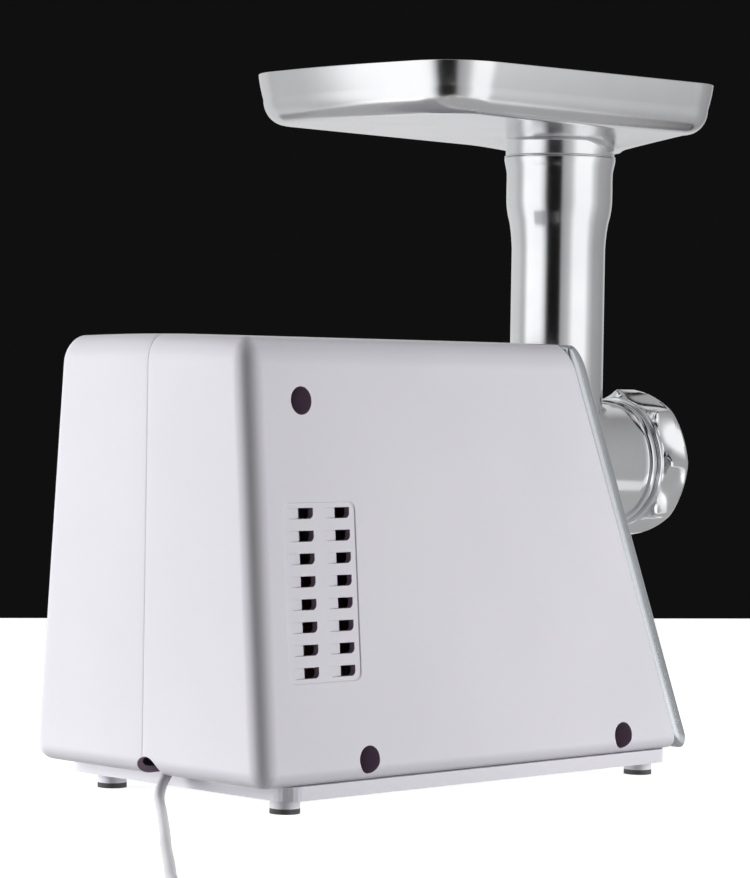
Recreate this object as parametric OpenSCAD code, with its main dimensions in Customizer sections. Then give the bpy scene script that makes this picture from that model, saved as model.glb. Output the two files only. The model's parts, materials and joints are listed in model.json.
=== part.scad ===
// Electric meat grinder: a plastic housing with a motor and a gearbox, a cast grinding head and a food tray.
// The grinding axis runs along Y. The head points to -Y, the cord leaves at +Y, and Z = 0 is the table.

/* [Housing] */
// Height of the housing's top above the table
body_top = 213.3; // [213:0.1:214]
// Underside of the two half shells
shell_bottom = 13; // [12.5:0.1:13.5]
// Place of the rear face
body_rear = 166.75; // [166:0.05:168]
// Half width of the housing at its top
half_top = 65.2; // [64:0.1:66]
// How much each side leans out for each millimetre down
draft = 0.08; // [0.078:0.001:0.082]
// Thickness of the shells
wall = 3; // [2.8:0.1:3]
// How much the front edge moves forward for each millimetre down
front_slope = 0.3465; // [0.345:0.0005:0.348]
// Place of the shells' front edge at the top
front_edge_top = -44.75; // [-45:0.05:-44.5]
// Depth of the front panel along Y
panel_depth = 11.8; // [11.5:0.1:12]
// Place of the joint between the two half shells
parting = 4; // [3.5:0.1:4.5]
// Radius of the housing's upright rear corners
corner_r = 11; // [10:0.5:12]

/* [Vent and holes] */
// Number of rows of vent slots
vent_rows = 8; // [6:1:8]
// Distance from row to row
vent_pitch = 10.1; // [10:0.05:10.2]
// Radius of the deep screw holes in the side
screw_hole_r = 6.15; // [6:0.05:6.3]
// Radius of the hole that the cord leaves by
cord_hole_r = 7.5; // [7:0.1:8]

/* [Grinding head] */
// Height of the grinding axis
axis_z = 153; // [152.8:0.1:153.2]
// Place of the feed tube's axis
tube_y = -104.75; // [-105:0.05:-104.5]
// Outer radius of the straight feed tube
tube_r = 23.7; // [23.5:0.1:24]
// Bore radius of the straight feed tube
tube_bore = 20.7; // [20.5:0.1:21]
// Height of the feed tube's rim
tube_top = 308; // [307.8:0.1:308]
// Outer radius of the barrel
barrel_r = 30.5; // [30.4:0.05:30.6]
// Bore radius of the barrel
barrel_bore = 24; // [24:0.1:24.5]
// Radius of the cutting plate
plate_r = 27; // [26.9:0.05:27]
// Largest radius of the ring nut
nut_r = 37.8; // [37.5:0.1:38]
// Number of grips on the ring nut
nut_grips = 8; // [8:1:8]

/* [Tray] */
// Height of the tray's rim
tray_top = 342.7; // [342:0.1:344]
// Half width of the tray at the front
tray_half_front = 85.9; // [85:0.1:86]
// Half width of the tray at the rear
tray_half_rear = 73.9; // [73:0.1:75]
// Front edge of the tray
tray_front = -136.75; // [-137:0.05:-136]
// Ends of the tray's rear edge
tray_rear = 49.45; // [49:0.05:50]
// How far the rear edge bows out at its middle
tray_bow = 7; // [6:0.5:8]
// Thickness of the sheet
tray_wall = 1.4; // [1.2:0.1:1.5]

/* [Gears] */
// Teeth on the motor pinion
motor_teeth = 9; // [9:1:9]
// Teeth on the first gear
gear1_teeth = 54; // [54:1:54]
// Teeth on the first pinion
pinion1_teeth = 12; // [12:1:12]
// Teeth on the second gear
gear2_teeth = 42; // [42:1:42]
// Teeth on the second pinion
pinion2_teeth = 13; // [13:1:13]
// Teeth on the output gear
gear3_teeth = 39; // [39:1:39]

/* [Cord] */
// Diameter of the cord
cord_d = 5; // [4.8:0.1:5]

/* [Hidden] */
$fn = 72;
arc_steps = 6;
shell_white = "#DCDBE3";
steel = "#A9ADB2";
polished = "#C9CBCE";
gear_white = "#E8E3D2";
copper = "#B5713A";
dark = "#2B2A2E";

draft_angle = atan(draft);
edge_r = 12;
bottom_r = 8;
panel_nose_r = 11;

function half_width(z) = half_top + draft * (body_top - z);
function shell_edge(z) = front_edge_top - front_slope * (body_top - z);
function panel_face(z) = shell_edge(z) - panel_depth;

// Gear sizes and shaft places, as [x, z]
gear1_module = 1;
gear2_module = 1.25;
gear3_module = 1.75;
centre1 = gear1_module * (motor_teeth + gear1_teeth) / 2;
centre2 = gear2_module * (pinion1_teeth + gear2_teeth) / 2;
centre3 = gear3_module * (pinion2_teeth + gear3_teeth) / 2;
stage1_x = -5;
stage2_x = 26;
output_at = [0, axis_z];
stage2_at = [stage2_x, axis_z - sqrt(centre3 ^ 2 - stage2_x ^ 2)];
stage1_at = [stage1_x, stage2_at.y - sqrt(centre2 ^ 2 - (stage2_x - stage1_x) ^ 2)];
motor_at = [0, stage1_at.y - sqrt(centre1 ^ 2 - stage1_x ^ 2)];

// Planes of the gearbox and the motor along Y
cover_y = [-38, -33];
case_y = [-33, 16];
case_floor = 12;
gear1_y = [0, 10];
gear2_y = [-13, -1];
gear3_y = [-30, -15];
shaft_r = 4;
boss_r = 6;
fit_gap = 0.05;
fan_y = [23, 32];
stack_y = [41, 81];
commutator_y = [93, 107];
bracket_y = [113, 117];
bolt_places = [[-33, -24], [33, -24], [-33, 24], [33, 24]];
ears = [[-37.2, 174.5], [0, 196], [37.2, 174.5], [-37.9, 90.3], [58.9, 103.7], [12, 63]];

// Place of the circuit board, which stands between two rails inside the rear face
board_x = 20;
// Radii of the strain relief, from its inner end to its outer end
relief_r = [4, 3.3];

// Screw posts that join the half shells, as [y, z]
posts = [[134.6, 184.1], [100.5, 22.8], [-73.9, 22.5]];
shoulder_x = -27;

// Vent field on the -X side
vent_y = [105.55, 148.2];
vent_z = [58.5, 138.9];
slot_long = 15.7;
slot_high = 4.9;
slot_columns = [vent_y[1] - 2 - slot_long, vent_y[1] - 2 - slot_long - 22.6];

foot_r = 6.9;
feet = [for (x = [-59.25, 59.25], y = [-104.3, 137.3]) [x, y]];
plate_z = [6.5, 13];
base_rear = 148;
base_front = -114;

// Head along Y
head_rear = -46.5;
cavity_rear = -62;
bead_y = -145.75;
head_front = -161.5;
plate_y = [-163.75, -158.75];
nut_y = [-166.75, -148.75];
shank_r = 9;
thread_r = 29.5;
lug_r = 34;
lug_y = [-51.5, -46.5];
sleeve_r = [30.8, 37];
cup_bore = 24.6;
lugs = [90, 210, 330];

// Lock button on the front panel, as [x, z], and its angle about the grinding axis
lock_at = [50, 169];
lock_angle = atan2(lock_at.y - axis_z, lock_at.x);
lock_radius = norm(lock_at - output_at);
lock_travel = 4;

switch_y = 60;
switch_z = 150;

// Cord: where it runs from inside the housing to its coil
route = [
  [2, 128, 20.5], [2, 138, 20], [2, 145, 18.8], [1.5, 151, 16], [0.5, 156, 11.5], [-2, 161, 7],
  [-7, 166, 3.9], [-13, 171, 2.6], [-24, 180, 2.5], [-35, 189, 2.5], [-47, 199, 2.5], [-60, 210, 2.5],
  [-76, 223.5, 2.5], [-92, 237, 2.5], [-107, 250, 2.5], [-121, 262, 2.5], [-136, 274.5, 2.5],
  [-150, 286, 2.5], [-168, 301, 2.5], [-185, 316, 2.5], [-204, 328.5, 2.5], [-224, 339, 2.5],
  [-245, 347, 2.5], [-265, 353, 2.5]
];
coil_at = [-252, 383];
coil_r = [20, 35];
coil_high = 10;
plug_from = [-284.5, 383];
plug_z = 6.5;

function unit(v) = v / norm(v);
// Points of the arc of radius r that rounds corner b between a and c
function corner(a, b, c, r) =
  r <= 0 ? [b] :
  let (u = unit(a - b), w = unit(c - b), half = acos(u * w) / 2,
       centre = b + unit(u + w) * r / sin(half),
       s = b + u * r / tan(half) - centre, e = b + w * r / tan(half) - centre,
       from = atan2(s.y, s.x), sweep = (atan2(e.y, e.x) - from + 540) % 360 - 180)
  [for (i = [0:arc_steps]) centre + r * [cos(from + sweep * i / arc_steps), sin(from + sweep * i / arc_steps)]];
// An outline from points [x, y, corner radius]
function outline(points) =
  let (n = len(points), flat = [for (p = points) [p.x, p.y]])
  [for (i = [0:n - 1]) each corner(flat[(i + n - 1) % n], flat[i], flat[(i + 1) % n], points[i].z)];

// A 2D shape drawn in X and Z, standing from y[0] to y[1]
module along(y) { translate([0, y[1], 0]) rotate([90, 0, 0]) linear_extrude(y[1] - y[0]) children(); }
// The same about a shaft's place
module about(at, y) { translate([at.x, 0, at.y]) along(y) children(); }
module rod(at, y, r) { about(at, y) circle(r); }
module tube(at, y, outer, inner) { about(at, y) difference() { circle(outer); circle(inner); } }
// A 2D shape drawn in Y and Z, standing from x[0] to x[1]
module across(x) { translate([x[0], 0, 0]) rotate([90, 0, 90]) linear_extrude(x[1] - x[0]) children(); }
module block(low, high) { translate(low) cube(high - low); }

// --- Housing ---

module front_view(inset) {
  low = shell_bottom + inset;
  high = body_top - inset;
  w_low = half_width(low) - inset;
  w_high = half_width(high) - inset;
  translate([parting, 0]) polygon(outline([
    [-w_low, low, bottom_r - inset], [w_low, low, bottom_r - inset],
    [w_high, high, edge_r - inset], [-w_high, high, edge_r - inset]]));
}

// Rounds an upright rear corner, leaning with the side
module corner_cut(side, inset) {
  z = shell_bottom;
  r = corner_r - inset;
  translate([parting + side * (half_width(z) - inset), body_rear - inset, z])
    rotate([0, -side * draft_angle, 0]) translate([0, 0, -20]) linear_extrude(260) difference() {
      translate([side > 0 ? -r : -5, -r]) square([r + 5, r + 5]);
      translate([-side * r, -r]) circle(r);
    }
}

module body_block(inset, ahead) {
  low = shell_bottom + inset;
  high = body_top - inset;
  back = body_rear - inset;
  difference() {
    intersection() {
      across([-90, 90]) polygon(outline([[shell_edge(low) - ahead, low, 0], [back, low, bottom_r - inset],
                                         [back, high, edge_r - inset], [shell_edge(high) - ahead, high, 0]]));
      along([-160, 170]) front_view(inset);
    }
    corner_cut(1, inset);
    corner_cut(-1, inset);
  }
}

module shell(side) {
  difference() {
    body_block(0, 0);
    body_block(wall, 20);
    block([side > 0 ? -100 : parting, -170, 0], [side > 0 ? parting : 100, 180, 230]);
    rod([2, 14], [base_rear, 175], cord_hole_r);
  }
}

module vent_cuts() {
  for (y = slot_columns, row = [0:vent_rows - 1]) {
    z = vent_z[1] - 2.5 - slot_high - row * vent_pitch;
    x = parting - half_width(z);
    block([x - 5, y, z], [x + 6, y + slot_long / 2, z + slot_high]);
    block([x - 5, y + slot_long / 2 - 0.1, z], [x + 1.4, y + slot_long, z + slot_high]);
  }
}

module housing_left() {
  color(shell_white) difference() {
    union() {
      shell(-1);
      intersection() {
        for (p = posts) across([-90, parting]) translate(p) circle(8);
        body_block(1.5, 0);
      }
    }
    for (p = posts) {
      across([-90, shoulder_x]) translate(p) circle(screw_hole_r);
      across([-90, parting + 1]) translate(p) circle(2.2);
    }
    vent_cuts();
  }
}

module housing_right() {
  color(shell_white) difference() {
    union() {
      shell(1);
      intersection() {
        union() {
          for (p = posts) across([parting, 90]) translate(p) circle(8);
          for (x = [board_x - 1.6, board_x + 1.8]) block([x, 157, 124], [x + 1.4, 166, 170]);
        }
        body_block(1.5, 0);
      }
    }
    for (p = posts) across([parting - 1, 34]) translate(p) circle(1.95);
    switch_place() block([-12, -8.6, -12.6], [5, 8.6, 12.6]);
  }
}

module housing_screws() {
  color(steel) for (p = posts) {
    across([shoulder_x - 3, shoulder_x]) translate(p) difference() {
      circle(4);
      square([1, 5], center = true);
    }
    across([shoulder_x, 28]) translate(p) circle(1.9);
  }
}

module panel_block(inset) {
  low = shell_bottom + inset;
  high = body_top - inset;
  behind = inset > 0 ? 5 : 0;
  intersection() {
    across([-90, 90]) polygon(outline([
      [shell_edge(high) + behind, high, 0], [panel_face(high) + inset, high, panel_nose_r - inset],
      [panel_face(low) + inset, low, bottom_r - inset], [shell_edge(low) + behind, low, 0]]));
    along([-160, 0]) front_view(inset);
  }
}

module front_panel() {
  color("#B4BAC1") difference() {
    panel_block(0);
    panel_block(wall);
    rod(output_at, [-130, 0], sleeve_r[1]);
    rod(lock_at, [-130, 0], 8.4);
  }
}

module base_plate() {
  w = half_width(shell_bottom) - 5;
  color(shell_white) difference() {
    union() {
      translate([parting, 0, plate_z[0]]) linear_extrude(plate_z[1] - plate_z[0])
        polygon(outline([[-w, base_front, 9], [w, base_front, 9], [w, base_rear, 9], [-w, base_rear, 9]]));
      for (p = feet) translate([p.x, p.y, 2.4]) cylinder(h = plate_z[0] - 2.4, r = foot_r);
    }
    for (p = feet) translate([p.x, p.y, 0]) cylinder(h = 8, r = 3);
    for (x = [-45, 45], y = [-90, 125]) translate([x, y, 0]) {
      cylinder(h = 20, r = 2.1);
      cylinder(h = 9, r = 4.2);
    }
  }
}

module rubber_feet() {
  color(dark) for (p = feet) translate([p.x, p.y, 0]) {
    cylinder(h = 2.4, r = foot_r);
    cylinder(h = 8, r = 3);
  }
}

module base_screws() {
  color(steel) for (x = [-45, 45], y = [-90, 125]) translate([x, y, 0]) {
    translate([0, 0, 7]) cylinder(h = 2, r = 3.9);
    translate([0, 0, 9]) cylinder(h = 4, r = 1.9);
  }
}

// The round port that takes the head, with a groove and three ways in for its lugs
module port_sleeve() {
  color("#9AA0A6") difference() {
    intersection() {
      union() {
        tube(output_at, [-100, cover_y[0]], sleeve_r[1], sleeve_r[0]);
        translate([0, 0, axis_z]) rotate([0, -lock_angle, 0]) block([35, -55, -5], [lock_radius + 6, -52, 5]);
      }
      across([-60, 70]) polygon([[panel_face(90) - 1.5, 90], [0, 90], [0, 210], [panel_face(210) - 1.5, 210]]);
    }
    tube(output_at, [lug_y[0] - 0.5, lug_y[1] + 0.5], lug_r + 0.3, 20);
    for (a = lugs) translate([0, 0, axis_z]) rotate([0, -a - 45, 0]) block([20, -110, -8.5], [lug_r + 0.3, lug_y[1], 8.5]);
    translate([0, 0, axis_z]) rotate([0, -lock_angle, 0]) block([25, head_rear + 0.2, -4.5], [45, -30, 4.5]);
    rod(lock_at, [-60, -50], 3.2);
  }
}

// --- Gearbox ---

module gearbox_outline(extra) {
  translate(output_at) circle(38 + extra);
  translate(stage1_at) circle(30 + extra);
  translate(stage2_at) circle(30 + extra);
  translate(motor_at) circle(8 + extra);
}

module gearbox_case() {
  color("#C7C9CC") difference() {
    union() {
      along(case_y) gearbox_outline(3);
      along([-33, -8]) for (e = ears) translate(e) circle(5);
      rod(motor_at, [13, 17], 44);
      rod(motor_at, [12, 20], 13.5);
      for (at = [stage1_at, stage2_at]) rod(at, [12, 19], boss_r + 1);
      rod(output_at, [12, 19], 9);
    }
    along([case_y[0] - 1, case_floor]) gearbox_outline(0);
    rod(motor_at, [11, 21], 5);
    rod(motor_at, [13, 21], 11);
    for (at = [stage1_at, stage2_at]) rod(at, [11, 17], shaft_r + fit_gap);
    rod(output_at, [11, 17], 6 + fit_gap);
    for (e = ears) rod(e, [-34, -10], 1.6);
    for (p = bolt_places) rod(motor_at + p, [10, 20], 2.1);
  }
}

module gearbox_cover() {
  color("#C7C9CC") difference() {
    union() {
      along(cover_y) { gearbox_outline(3); for (e = ears) translate(e) circle(5); }
      for (at = [stage1_at, stage2_at]) rod(at, [-41, -38], boss_r);
    }
    for (at = [stage1_at, stage2_at]) rod(at, [-39.5, -32], shaft_r + fit_gap);
    rod(output_at, [-39, -32], 17);
    for (e = ears) rod(e, [-39, -32], 1.7);
  }
}

module gearbox_screws() {
  color(steel) for (e = ears) {
    rod(e, [-41, -38], 3.2);
    rod(e, [-38, -12], 1.55);
  }
}

module output_bearing() { color(steel) tube(output_at, cover_y, 17, 12 + fit_gap); }

// Half angle of a tooth at radius rho, from the involute of a 20 degree rack
function involute(a) = tan(a) * 180 / PI - a;
function tooth_half(teeth, m, rho, slack) =
  let (base = m * teeth / 2 * cos(20), pressure = rho > base ? acos(base / rho) : 0)
  90 / teeth - slack / (m * teeth) * 180 / PI + involute(20) - involute(pressure);
// One gear: a tooth points along turn degrees from +X towards +Z
module gear(at, y, teeth, m, turn, bore, tip, root) {
  slack = 0.09 * m;
  r = m * teeth / 2;
  radii = [r - root * m, r - 0.45 * m, r, r + 0.35 * m, r + tip * m];
  points = [for (i = [0:teeth - 1], s = [-1, 1], k = [0:4])
    let (rho = radii[s < 0 ? k : 4 - k], a = turn + i * 360 / teeth + s * tooth_half(teeth, m, rho, slack))
    rho * [cos(a), sin(a)]];
  about(at, y) difference() { polygon(points); circle(bore); }
}
function bearing_of(a, b) = atan2(b.y - a.y, b.x - a.x);

module motor_pinion() {
  color(steel) gear(motor_at, gear1_y, motor_teeth, gear1_module, bearing_of(motor_at, stage1_at), shaft_r - 1.5, 0.8, 1.1);
}
module stage1_gear() {
  color(gear_white) gear(stage1_at, gear1_y, gear1_teeth, gear1_module,
                         bearing_of(stage1_at, motor_at) + 180 / gear1_teeth, shaft_r, 0.7, 1.1);
}
module stage1_pinion() {
  color(steel) gear(stage1_at, gear2_y, pinion1_teeth, gear2_module, bearing_of(stage1_at, stage2_at), shaft_r, 0.8, 1.1);
}
module stage2_gear() {
  color(gear_white) gear(stage2_at, gear2_y, gear2_teeth, gear2_module,
                         bearing_of(stage2_at, stage1_at) + 180 / gear2_teeth, shaft_r, 0.7, 1.1);
}
module stage2_pinion() {
  color(steel) gear(stage2_at, gear3_y, pinion2_teeth, gear3_module, bearing_of(stage2_at, output_at), shaft_r, 0.8, 1.1);
}
module output_gear() {
  color(gear_white) gear(output_at, gear3_y, gear3_teeth, gear3_module,
                         bearing_of(output_at, stage2_at) + 180 / gear3_teeth, 10, 0.7, 1.1);
}
module stage1_shaft() { color(steel) rod(stage1_at, [-39, 16.5], shaft_r); }
module stage2_shaft() { color(steel) rod(stage2_at, [-39, 16.5], shaft_r); }
module output_shaft() {
  color(steel) difference() {
    union() {
      rod(output_at, [-45.2, -30], 12);
      rod(output_at, [-30, -15], 10);
      rod(output_at, [-15, 16.5], 6);
    }
    about(output_at, [-46, -35.5]) circle(7.9, $fn = 6);
  }
}

// --- Motor ---

module motor_bearing_front() { color(steel) tube(motor_at, [13, 19.5], 11, shaft_r + fit_gap); }
module motor_bearing_rear() { color(steel) tube(motor_at, [113.5, 120], 9.5, shaft_r + fit_gap); }

module rotor_shaft() {
  color(steel) {
    rod(motor_at, [10, 121], shaft_r);
    rod(motor_at, [0, 10], shaft_r - 1.5);
  }
}
module rotor_slots(r) { for (i = [0:11]) rotate(i * 30) translate([16.5, 0]) circle(r); }
module rotor_core() {
  color("#8B8F94") about(motor_at, stack_y) difference() {
    circle(21);
    circle(shaft_r);
    rotor_slots(2.2);
  }
}
module rotor_windings() {
  color(copper) {
    tube(motor_at, [34, stack_y[0]], 19, shaft_r);
    tube(motor_at, [stack_y[1], 89], 19, shaft_r);
    about(motor_at, [40, 82]) rotor_slots(2.15);
  }
}
module commutator() {
  color(copper) about(motor_at, commutator_y) difference() {
    circle(11);
    circle(shaft_r);
    for (i = [0:11]) rotate(i * 30) translate([9.6, -0.3]) square([2, 0.6]);
  }
}
module cooling_fan() {
  color(dark) {
    tube(motor_at, fan_y, 8, shaft_r);
    tube(motor_at, [fan_y[1] - 1.5, fan_y[1]], 32, shaft_r);
    about(motor_at, [fan_y[0] + 1, fan_y[1]]) for (i = [0:10]) rotate(i * 360 / 11) translate([7, -0.6]) square([24, 1.2]);
  }
}

// A ring sector between two angles
module sector(inner, outer, from, to) {
  mid = (from + to) / 2;
  intersection() {
    difference() { circle(outer); circle(inner); }
    polygon([[0, 0], 80 * [cos(from), sin(from)], 90 * [cos(mid), sin(mid)], 80 * [cos(to), sin(to)]]);
  }
}
windows = [[24, 62], [118, 156], [204, 242], [298, 336]];
module field_stack() {
  color("#7E8287") about(motor_at, stack_y) difference() {
    intersection() { circle(44); square([86, 78], center = true); }
    circle(22.2);
    for (w = windows) sector(24, 34, w[0], w[1]);
    for (p = bolt_places) translate(p) circle(2.2);
  }
}
module field_coils() {
  color(copper) for (turn = [0, 180]) about(motor_at, [34, 88]) rotate(turn) {
    sector(24.5, 33.5, 25, 61);
    sector(24.5, 33.5, 119, 155);
  }
  color(copper) for (turn = [0, 180], y = [[34, 40.5], [81.5, 88]]) about(motor_at, y) rotate(turn) sector(24.5, 33.5, 60, 120);
}
module motor_bolts() {
  color(steel) for (p = bolt_places) {
    rod(motor_at + p, [14, bracket_y[1]], 2);
    rod(motor_at + p, [bracket_y[1], 120], 3.8);
  }
}
module motor_rear_bracket() {
  color("#C7C9CC") difference() {
    union() {
      about(motor_at, bracket_y) { for (a = [-36, 0, 36]) rotate(a) square([90, 13], center = true); circle(16); }
      rod(motor_at, [bracket_y[0], 121], 13);
    }
    rod(motor_at, [112, 122], 5);
    rod(motor_at, [113.5, 122], 9.5);
    for (p = bolt_places) rod(motor_at + p, [110, 119], 2.1);
  }
}
module brush_side(side) { translate([0, 100, motor_at.y]) mirror([side < 0 ? 1 : 0, 0, 0]) children(); }
module brush_holders() {
  color("#6B5A2E") for (side = [-1, 1]) brush_side(side) {
    difference() {
      block([13, -5.5, -4.5], [36, 5.5, 4.5]);
      block([12, -4.2, -3.2], [34, 4.2, 3.2]);
    }
    block([28, 5.5, -4.5], [36, 13, 4.5]);
  }
}
module carbon_brushes() { color(dark) for (side = [-1, 1]) brush_side(side) block([11.3, -4, -3], [24, 4, 3]); }
module brush_springs() {
  color(steel) for (side = [-1, 1]) brush_side(side) for (x = [25.2, 27.4, 29.6, 31.8]) translate([x, 0, 0])
    rotate([0, 90, 0]) rotate_extrude() translate([2.2, 0]) circle(0.5, $fn = 16);
}
module motor_mounts() {
  color(dark) {
    for (y = [[44, 52], [70, 78]]) block([-30, y[0], shell_bottom + wall], [30, y[1], motor_at.y - 39]);
    difference() {
      block([-14, -24, shell_bottom + wall], [14, 6, motor_at.y]);
      along([-30, 12]) gearbox_outline(3);
      for (e = ears) rod(e, [-34, -8], 5);
    }
  }
}

// --- Grinding parts ---

module auger_coupling() {
  color("#E9E6DC") about(output_at, [-46.4, -36.5]) circle(7.5, $fn = 6);
}

flight_y = [-151.5, -64];
module auger() {
  color("#BFC1C3") {
    rod(output_at, [-64.5, -46.5], shank_r - fit_gap);
    rod(output_at, [-152.5, -64], 9);
    about(output_at, [-158.5, -152]) square(8, center = true);
    rod(output_at, [-163.5, -158.5], 3.9);
    translate([0, flight_y[1], axis_z]) rotate([90, 0, 0])
      linear_extrude(flight_y[1] - flight_y[0], twist = 900, slices = 80, $fn = 12)
        polygon([[5, -6], for (a = [-16:16:16]) (barrel_bore - 0.8) * [cos(a), sin(a)], [5, 6]]);
  }
}

module knife() {
  color(steel) about(output_at, [-158.5, -154.5]) difference() {
    union() {
      circle(9);
      for (a = [0:90:270]) rotate(a) polygon([[0, -5], [22, -1], [22, 4.5], [0, 5.5]]);
    }
    square(8.2, center = true);
  }
}

hole_rows = [[6, 9], [12, 14.4], [18, 19.8]];
module cutting_plate() {
  color(polished) about(output_at, plate_y) difference() {
    circle(plate_r);
    circle(shank_r - 5);
    for (row = hole_rows, i = [0:row[0] - 1]) rotate(i * 360 / row[0]) translate([row[1], 0]) circle(2.2, $fn = 24);
  }
}

module nut_outline() {
  step = 360 / nut_grips;
  difference() {
    circle(nut_r);
    for (i = [0:nut_grips - 1]) rotate(152 - i * step) translate([nut_r + 7.2, 0]) circle(11);
  }
}
module ring_nut() {
  color(polished) difference() {
    union() {
      about(output_at, [nut_y[0], -151]) nut_outline();
      rod(output_at, [-151, nut_y[1]], 33.5);
    }
    rod(output_at, [plate_y[0], nut_y[1] + 1], 31);
    rod(output_at, [nut_y[0] - 1, plate_y[0] + 1], 23);
  }
}

// Profile of the feed tube: the straight part, the flare to a cup, and the rim
tube_outer = [[tube_r, 160], [tube_r, 266], [24.4, 270.6], [25, 274.7], [26.1, 278.8], [26.8, 284], [26.8, 301],
              [28.2, 302.2], [28.2, tube_top]];
module grinder_head() {
  color(polished) difference() {
    union() {
      rod(output_at, [bead_y, head_rear], barrel_r);
      rod(output_at, [-148, -143.5], 32.5);
      rod(output_at, [head_front, -148], thread_r);
      translate([0, tube_y, 0]) rotate_extrude() polygon([[0, 160], each tube_outer, [0, tube_top]]);
      for (a = lugs) translate([0, 0, axis_z]) rotate([0, -a, 0])
        intersection() {
          block([25, lug_y[0], -8], [40, lug_y[1], 8]);
          rod([0, 0], [-60, -40], lug_r);
        }
    }
    rod(output_at, [-170, cavity_rear], barrel_bore);
    rod(output_at, [-170, plate_y[1]], plate_r + 0.2);
    rod(output_at, [-70, -40], shank_r);
    translate([0, tube_y, 0]) rotate_extrude()
      polygon([[0, axis_z], [tube_bore, axis_z], [tube_bore, 266], [cup_bore, 284], [cup_bore, 310], [0, 310]]);
  }
}

// --- Tray ---

module tray_plan(inset) {
  polygon(outline([
    [-tray_half_front + inset, tray_front + inset, 24 - inset / 2], [tray_half_front - inset, tray_front + inset, 24 - inset / 2],
    [tray_half_rear - inset, tray_rear - inset, 24 - inset / 2], [0, tray_rear + tray_bow - inset, 300],
    [-tray_half_rear + inset, tray_rear - inset, 24 - inset / 2]]));
}
module tray_form(inset, lift, top) {
  hull() {
    translate([0, 0, top - 0.2]) linear_extrude(0.2) tray_plan(inset);
    translate([0, 0, 322 + lift]) linear_extrude(0.2) tray_plan(3 + inset);
    translate([0, 0, 317.5 + lift]) linear_extrude(0.2) tray_plan(11 + inset);
    translate([0, tube_y, 309.5 + lift]) cylinder(h = 0.2, r = 28.5);
  }
}
module tray() {
  color(polished) difference() {
    union() {
      tray_form(0, 0, tray_top);
      translate([0, tube_y, tube_top]) cylinder(h = 6, r = 28);
      translate([0, tube_y, 290]) cylinder(h = 20, r = 24);
    }
    tray_form(tray_wall, tray_wall, tray_top + 2);
    translate([0, tube_y, 280]) cylinder(h = 40, r = 22.4);
  }
}

// --- Lock and switch ---

module lock_button() {
  color("#8E949A") {
    rod(lock_at, [-77.5, -62], 8);
    rod(lock_at, [-62, -43], 3);
  }
}
module lock_pin() {
  color(steel) difference() {
    translate([0, 0, axis_z]) rotate([0, -lock_angle, 0]) block([32, head_rear + 0.5, -4], [lock_radius + 5, head_rear + 3.5, 4]);
    rod(lock_at, [-50, -40], 3);
  }
}
module lock_spring() {
  color(steel) for (y = [-61.2:1.6:-55.8]) translate([lock_at.x, y, lock_at.y])
    rotate([90, 0, 0]) rotate_extrude() translate([4.6, 0]) circle(0.5, $fn = 16);
}

module switch_place() {
  translate([parting + half_width(switch_z), switch_y, switch_z]) rotate([0, -draft_angle, 0]) children();
}
module power_switch() {
  color(dark) switch_place() difference() {
    union() {
      block([0.05, -10, -14], [1.7, 10, 14]);
      block([-20, -8.4, -12.4], [1, 8.4, 12.4]);
      for (z = [-7, 0, 7]) block([-27, -2.4, z - 0.4], [-20, 2.4, z + 0.4]);
    }
    block([-9, -7.2, -11.2], [3, 7.2, 11.2]);
  }
}
module power_rocker() {
  color("#B43A32") switch_place() translate([0, 6.9, 0]) rotate([90, 0, 0]) linear_extrude(13.8)
    polygon([[2.8, -10], [1.4, 0], [2.8, 10], [-3, 10], [-5, 3], [-5, -3], [-3, -10]]);
}

// --- Electrical parts ---

module circuit_board() {
  color("#2F6B45") {
    block([board_x, 122, 120], [board_x + 1.6, 160, 172]);
    block([board_x + 1.6, 128, 130], [27, 140, 146]);
    block([board_x + 1.6, 146, 150], [30, 156, 164]);
  }
}
module capacitor() { color("#C9A227") block([8, 128, 128], [board_x, 150, 146]); }
module cord_clamp() {
  color("#E4E2DC") difference() {
    block([-14, 124, shell_bottom + wall], [18, 134, 28]);
    rod([2, 20.2], [120, 136], relief_r[0] + 0.6);
  }
}
module strain_relief() {
  color(shell_white) rod_cone([2, 124, 20.6], [2, 144, 19.2], relief_r[0], relief_r[1]);
}
// A bored taper from one point to another
module rod_cone(from, to, r1, r2) {
  d = to - from;
  translate(from) rotate([0, acos(d.z / norm(d)), atan2(d.y, d.x)]) difference() {
    cylinder(h = norm(d), r1 = r1, r2 = r2);
    translate([0, 0, -1]) cylinder(h = norm(d) + 2, r = cord_d / 2 + 0.4);
  }
}

// --- Cord ---

// A tube swept along points: each ring stands across the mean of the two stretches it joins
module sweep(points, r, sides) {
  n = len(points);
  rings = [for (i = [0:n - 1])
    let (ahead = unit(points[min(i + 1, n - 1)] - points[max(i - 1, 0)]),
         side = unit(cross(ahead, [0, 0, 1])), up = cross(side, ahead))
    for (k = [0:sides - 1]) points[i] + r * (side * cos(k * 360 / sides) + up * sin(k * 360 / sides))];
  faces = [
    [for (k = [0:sides - 1]) k],
    [for (k = [sides - 1:-1:0]) (n - 1) * sides + k],
    for (i = [0:n - 2], k = [0:sides - 1]) let (a = i * sides + k, b = i * sides + (k + 1) % sides) [b, a, a + sides, b + sides]
  ];
  polyhedron(rings, faces);
}
module cord() { color("white") sweep(route, cord_d / 2, 10); }
module cord_coil() {
  color("white") translate([coil_at.x, coil_at.y, 0]) rotate_extrude()
    translate([coil_r[0], 0]) square([coil_r[1] - coil_r[0], coil_high]);
}
module plug() {
  color("white") {
    translate([plug_from.x, plug_from.y, plug_z]) rotate([-90, 0, 0]) cylinder(h = 24, r1 = 3.2, r2 = 5);
    hull() for (x = [-6.5, 6.5]) translate([plug_from.x + x, plug_from.y + 23, plug_z]) rotate([-90, 0, 0]) cylinder(h = 28, r = plug_z, $fn = 32);
  }
}
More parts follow.
